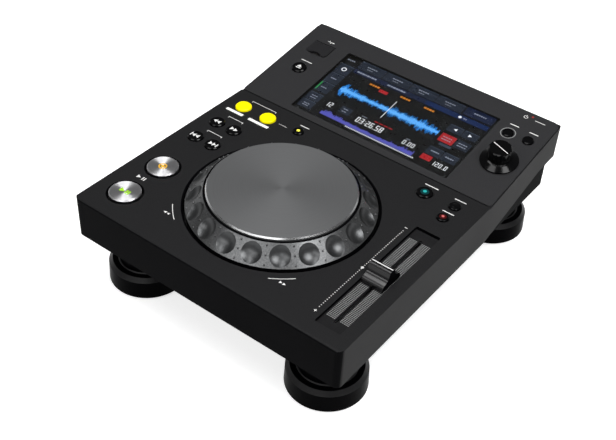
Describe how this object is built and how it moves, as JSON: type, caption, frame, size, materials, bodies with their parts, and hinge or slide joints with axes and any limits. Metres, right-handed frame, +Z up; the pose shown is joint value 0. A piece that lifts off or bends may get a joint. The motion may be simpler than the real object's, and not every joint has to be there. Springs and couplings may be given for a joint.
{
  "type": "dj media player",
  "caption": "Table-top media player with a large jog wheel, a tempo fader, push buttons, a rotary selector and a tilted touch screen, on tall round feet.",
  "frame": {"origin": "on the table, below the middle of the overall length and width", "axes": "+X to the right of the player, +Y from the front face to the rear, +Z up"},
  "size_m": [0.242, 0.3016, 0.1053],
  "materials": {
    "case_top": "fine texture, black",
    "case_bottom": "plain, black",
    "bezel": "satin, dark grey",
    "screen_glass": "clear, glossy",
    "display": "lit screen",
    "sheet_steel": "plain",
    "foot_plastic": "satin, black",
    "foot_rubber": "soft, dark",
    "screw_steel": "zinc plated",
    "inner_plastic": "moulded, black",
    "bearing_bronze": "sintered bronze",
    "shaft_steel": "ground",
    "jog_ring_plastic": "satin metal paint, grey",
    "jog_plate_metal": "turned, satin dark grey",
    "encoder_film": "printed disc",
    "fader_plate": "printed scale, black",
    "fader_cap_plastic": "moulded, dark grey",
    "board": "solder mask, green",
    "switch": "moulded, pale",
    "cable_film": "flat cable",
    "socket_steel": "bright plated",
    "big_button_metal": "spun, silver",
    "button_black": "moulded, black",
    "button_yellow": "lit, yellow",
    "button_teal": "lit, green-blue",
    "button_red": "lit, red",
    "knob_plastic": "moulded, black",
    "lid_rubber": "satin, black",
    "lens_red": "clear, red"
  },
  "bodies": {
    "chassis": {"top_case": "case_top", "bottom_case": "case_bottom", "display_bezel": "bezel", "screen_glass": "screen_glass", "lcd_module": "display", "lcd_carrier": "sheet_steel", "foot_front_left": "foot_plastic", "foot_front_right": "foot_plastic", "foot_rear_left": "foot_plastic", "foot_rear_right": "foot_plastic", "foot_pads": "foot_rubber", "foot_screws": "screw_steel", "case_screws": "screw_steel", "jog_base": "inner_plastic", "jog_bearing": "bearing_bronze", "jog_sensor": "inner_plastic", "fader_scale": "fader_plate", "fader_frame": "sheet_steel", "key_board_left": "board", "key_board_right": "board", "panel_board_left": "board", "panel_board_right": "board", "main_board": "board", "key_switches": "switch", "flat_cables": "cable_film", "usb_stick_socket": "socket_steel", "usb_rear_socket": "socket_steel", "network_socket": "socket_steel", "audio_sockets": "socket_steel", "power_inlet": "inner_plastic", "selector_encoder": "inner_plastic", "lid_pin": "shaft_steel", "standby_lens": "lens_red"},
    "jog": {"jog_ring": "jog_ring_plastic", "jog_shaft": "shaft_steel", "jog_encoder_disc": "encoder_film"},
    "jog_top": {"jog_plate": "jog_plate_metal"},
    "fader": {"fader_cap": "fader_cap_plastic", "fader_stem": "inner_plastic"},
    "selector_turn": {"selector_rotor": "inner_plastic"},
    "selector_push": {"selector_knob": "knob_plastic", "selector_shaft": "shaft_steel"},
    "lid": {"usb_lid": "lid_rubber"},
    "play": {"play_button": "big_button_metal"},
    "cue": {"cue_button": "big_button_metal"},
    "loop_in": {"loop_in_button": "button_yellow"},
    "loop_out": {"loop_out_button": "button_yellow"},
    "reloop": {"reloop_button": "button_black"},
    "search_back": {"search_back_button": "button_black"},
    "search_forward": {"search_forward_button": "button_black"},
    "track_back": {"track_back_button": "button_black"},
    "track_forward": {"track_forward_button": "button_black"},
    "jog_mode": {"jog_mode_button": "button_teal"},
    "tempo_range": {"tempo_range_button": "button_black"},
    "master_tempo": {"master_tempo_button": "button_red"},
    "usb_stop": {"usb_stop_button": "button_black"},
    "back": {"back_button": "button_black"},
    "menu": {"menu_button": "button_black"},
    "power": {"power_button": "button_black"}
  },
  "joints": [
    {"name": "jog_spin", "type": "hinge", "parent": "chassis", "child": "jog", "pos_m": [0, -0.059, 0.0825], "axis": [0, 0, 1], "continuous": true},
    {"name": "jog_touch", "type": "slide", "parent": "jog", "child": "jog_top", "axis": [0, 0, 1], "range_m": [-0.0004, 0], "stiffness_N_per_m": 6000, "springref_m": 0.0002},
    {"name": "tempo_slide", "type": "slide", "parent": "chassis", "child": "fader", "axis": [0, 1, 0], "range_m": [-0.05, 0.05]},
    {"name": "selector_spin", "type": "hinge", "parent": "chassis", "child": "selector_turn", "pos_m": [0.1007, 0.08423, 0.08982], "axis": [0, -0.1547, 0.988], "continuous": true},
    {"name": "selector_press", "type": "slide", "parent": "selector_turn", "child": "selector_push", "axis": [0, -0.1547, 0.988], "range_m": [-0.0005, 0], "stiffness_N_per_m": 2000, "springref_m": 0.0004},
    {"name": "usb_lid_hinge", "type": "hinge", "parent": "chassis", "child": "lid", "pos_m": [-0.098, 0.12275, 0.09463], "axis": [-1, 0, 0], "range_deg": [0, 95]},
    {"name": "play_press", "type": "slide", "parent": "chassis", "child": "play", "axis": [0, 0, -1], "range_m": [0, 0.0005], "stiffness_N_per_m": 1500, "springref_m": -0.0004},
    {"name": "cue_press", "type": "slide", "parent": "chassis", "child": "cue", "axis": [0, 0, -1], "range_m": [0, 0.0005], "stiffness_N_per_m": 1500, "springref_m": -0.0004},
    {"name": "loop_in_press", "type": "slide", "parent": "chassis", "child": "loop_in", "axis": [0, 0, -1], "range_m": [0, 0.0005], "stiffness_N_per_m": 1500, "springref_m": -0.0004},
    {"name": "loop_out_press", "type": "slide", "parent": "chassis", "child": "loop_out", "axis": [0, 0, -1], "range_m": [0, 0.0005], "stiffness_N_per_m": 1500, "springref_m": -0.0004},
    {"name": "reloop_press", "type": "slide", "parent": "chassis", "child": "reloop", "axis": [0, 0, -1], "range_m": [0, 0.0005], "stiffness_N_per_m": 1500, "springref_m": -0.0004},
    {"name": "search_back_press", "type": "slide", "parent": "chassis", "child": "search_back", "axis": [0, 0, -1], "range_m": [0, 0.0005], "stiffness_N_per_m": 1500, "springref_m": -0.0004},
    {"name": "search_forward_press", "type": "slide", "parent": "chassis", "child": "search_forward", "axis": [0, 0, -1], "range_m": [0, 0.0005], "stiffness_N_per_m": 1500, "springref_m": -0.0004},
    {"name": "track_back_press", "type": "slide", "parent": "chassis", "child": "track_back", "axis": [0, 0, -1], "range_m": [0, 0.0005], "stiffness_N_per_m": 1500, "springref_m": -0.0004},
    {"name": "track_forward_press", "type": "slide", "parent": "chassis", "child": "track_forward", "axis": [0, 0, -1], "range_m": [0, 0.0005], "stiffness_N_per_m": 1500, "springref_m": -0.0004},
    {"name": "jog_mode_press", "type": "slide", "parent": "chassis", "child": "jog_mode", "axis": [0, 0, -1], "range_m": [0, 0.0005], "stiffness_N_per_m": 1500, "springref_m": -0.0004},
    {"name": "tempo_range_press", "type": "slide", "parent": "chassis", "child": "tempo_range", "axis": [0, 0, -1], "range_m": [0, 0.0005], "stiffness_N_per_m": 1500, "springref_m": -0.0004},
    {"name": "master_tempo_press", "type": "slide", "parent": "chassis", "child": "master_tempo", "axis": [0, 0, -1], "range_m": [0, 0.0005], "stiffness_N_per_m": 1500, "springref_m": -0.0004},
    {"name": "usb_stop_press", "type": "slide", "parent": "chassis", "child": "usb_stop", "axis": [0, 0.1547, -0.988], "range_m": [0, 0.0005], "stiffness_N_per_m": 1500, "springref_m": -0.0004},
    {"name": "back_press", "type": "slide", "parent": "chassis", "child": "back", "axis": [0, 0.1547, -0.988], "range_m": [0, 0.0005], "stiffness_N_per_m": 1500, "springref_m": -0.0004},
    {"name": "menu_press", "type": "slide", "parent": "chassis", "child": "menu", "axis": [0, 0.1547, -0.988], "range_m": [0, 0.0005], "stiffness_N_per_m": 1500, "springref_m": -0.0004},
    {"name": "power_press", "type": "slide", "parent": "chassis", "child": "power", "axis": [0, -1, 0], "range_m": [0, 0.0005], "stiffness_N_per_m": 1500, "springref_m": -0.0004}
  ]
}
